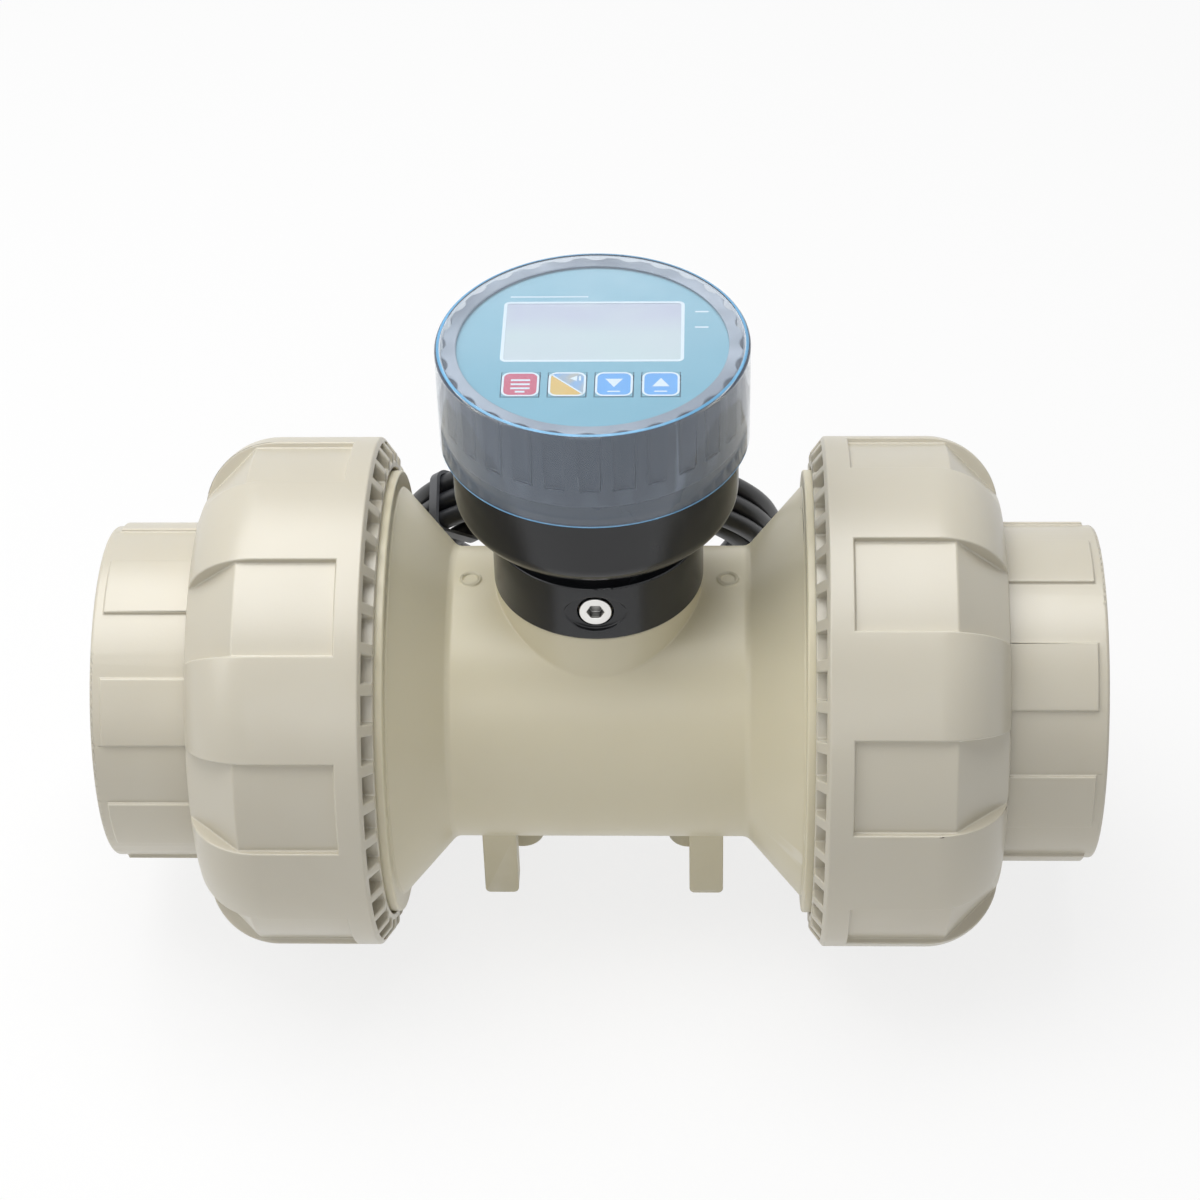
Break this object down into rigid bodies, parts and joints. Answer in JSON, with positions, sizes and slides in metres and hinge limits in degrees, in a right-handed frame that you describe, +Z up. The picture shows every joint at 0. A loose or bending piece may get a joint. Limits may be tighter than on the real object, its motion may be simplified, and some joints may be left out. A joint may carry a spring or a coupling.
{
  "type": "electromagnetic flow meter",
  "caption": "In-line electromagnetic flow meter: plastic pipe body with union nuts and sockets, display head on a neck, clear dust cap, coiled cable behind.",
  "frame": {"origin": "centre of the footprint of the meter without its cable, on the plane that the two union nuts rest on", "axes": "+X along the pipe to the right union, +Z up through the display head, -Y the side with the locking screw and the keys"},
  "size_m": [0.268, 0.1968, 0.188],
  "materials": {
    "body_plastic": "satin beige polypropylene, moulded",
    "black_plastic": "satin black glass-filled plastic",
    "clear_cap": "clear moulded plastic with pale blue edges",
    "window": "clear display window",
    "face_print": "teal printed panel, plain",
    "key_red": "red key",
    "key_mixed": "key in two colours, split on its diagonal",
    "key_blue": "blue key with a triangle",
    "lcd_glass": "grey display glass",
    "circuit_board": "green circuit board",
    "switch_metal": "tin-plated switches",
    "terminal_green": "green terminal block",
    "seal_rubber": "black rubber seal",
    "screw_steel": "bright stainless steel",
    "electrode_steel": "polished stainless steel",
    "insert_brass": "turned brass",
    "core_iron": "soft iron",
    "bobbin_plastic": "natural nylon",
    "winding_copper": "enamelled copper wire",
    "cable_jacket": "black cable jacket, satin",
    "tie_grey": "light grey tie",
    "core_colours": "coloured insulated cores",
    "gland_black": "satin black nylon"
  },
  "bodies": {
    "meter": {"meter_body": "body_plastic", "o_ring_left": "seal_rubber", "o_ring_right": "seal_rubber", "mounting_inserts": "insert_brass", "neck_collar": "black_plastic", "lock_screw": "screw_steel", "probe_body": "body_plastic", "probe_o_rings": "seal_rubber", "electrode_front": "electrode_steel", "electrode_rear": "electrode_steel", "ground_electrode": "electrode_steel", "magnet_core": "core_iron", "coil_bobbin": "bobbin_plastic", "field_coil": "winding_copper", "sensor_harness": "cable_jacket", "head_housing": "black_plastic", "head_seal": "seal_rubber", "main_board": "circuit_board", "board_spacers": "electrode_steel", "terminal_block": "terminal_green", "gland_body": "gland_black", "gland_locknut": "gland_black", "gland_nut": "gland_black", "gland_seal": "seal_rubber", "cable_inner": "cable_jacket", "supply_cores": "core_colours", "cable_lead": "cable_jacket", "cable_coil": "cable_jacket", "cable_tail": "cable_jacket", "cable_ties": "tie_grey", "wire_ends": "core_colours"},
    "union_end_left": {"union_end_left": "body_plastic"},
    "union_end_right": {"union_end_right": "body_plastic"},
    "union_nut_left": {"union_nut_left": "body_plastic"},
    "union_nut_right": {"union_nut_right": "body_plastic"},
    "display_insert": {"display_carrier": "black_plastic", "face_panel": "face_print", "lcd_window": "window", "lcd_module": "lcd_glass", "display_board": "circuit_board", "key_switches": "switch_metal", "board_screws": "screw_steel"},
    "bezel_ring": {"bezel_ring": "black_plastic"},
    "dust_cap": {"dust_cap": "clear_cap"},
    "key_mode": {"key_mode": "key_red"},
    "key_shift": {"key_shift": "key_mixed"},
    "key_down": {"key_down": "key_blue"},
    "key_up": {"key_up": "key_blue"}
  },
  "joints": [
    {"name": "union_end_left_slide", "type": "slide", "parent": "meter", "child": "union_end_left", "axis": [-1, 0, 0], "range_m": [0, 0.0201]},
    {"name": "union_nut_left_turn", "type": "hinge", "parent": "union_end_left", "child": "union_nut_left", "pos_m": [-0.08, 0, 0.07], "axis": [-1, 0, 0], "range_deg": [0, 1440]},
    {"name": "union_end_right_slide", "type": "slide", "parent": "meter", "child": "union_end_right", "axis": [1, 0, 0], "range_m": [0, 0.0201]},
    {"name": "union_nut_right_turn", "type": "hinge", "parent": "union_end_right", "child": "union_nut_right", "pos_m": [0.08, 0, 0.07], "axis": [1, 0, 0], "range_deg": [0, 1440]},
    {"name": "display_lift", "type": "slide", "parent": "meter", "child": "display_insert", "axis": [0, 0, 1], "range_m": [0, 0.00605]},
    {"name": "bezel_ring_turn", "type": "hinge", "parent": "display_insert", "child": "bezel_ring", "pos_m": [0, 0, 0.176], "axis": [0, 0, 1], "range_deg": [0, 720]},
    {"name": "dust_cap_lift", "type": "slide", "parent": "display_insert", "child": "dust_cap", "axis": [0, 0, 1], "range_m": [0, 0.045]},
    {"name": "key_mode_press", "type": "slide", "parent": "display_insert", "child": "key_mode", "axis": [0, 0, -1], "range_m": [0, 0.0004], "stiffness_N_per_m": 800},
    {"name": "key_shift_press", "type": "slide", "parent": "display_insert", "child": "key_shift", "axis": [0, 0, -1], "range_m": [0, 0.0004], "stiffness_N_per_m": 800},
    {"name": "key_down_press", "type": "slide", "parent": "display_insert", "child": "key_down", "axis": [0, 0, -1], "range_m": [0, 0.0004], "stiffness_N_per_m": 800},
    {"name": "key_up_press", "type": "slide", "parent": "display_insert", "child": "key_up", "axis": [0, 0, -1], "range_m": [0, 0.0004], "stiffness_N_per_m": 800}
  ],
  "couplings": [
    {"joint": "union_end_left_slide", "follows": "union_nut_left_turn", "m_per_rad": 0.00079577},
    {"joint": "union_end_right_slide", "follows": "union_nut_right_turn", "m_per_rad": 0.00079577},
    {"joint": "display_lift", "follows": "bezel_ring_turn", "m_per_rad": 0.00047746}
  ]
}
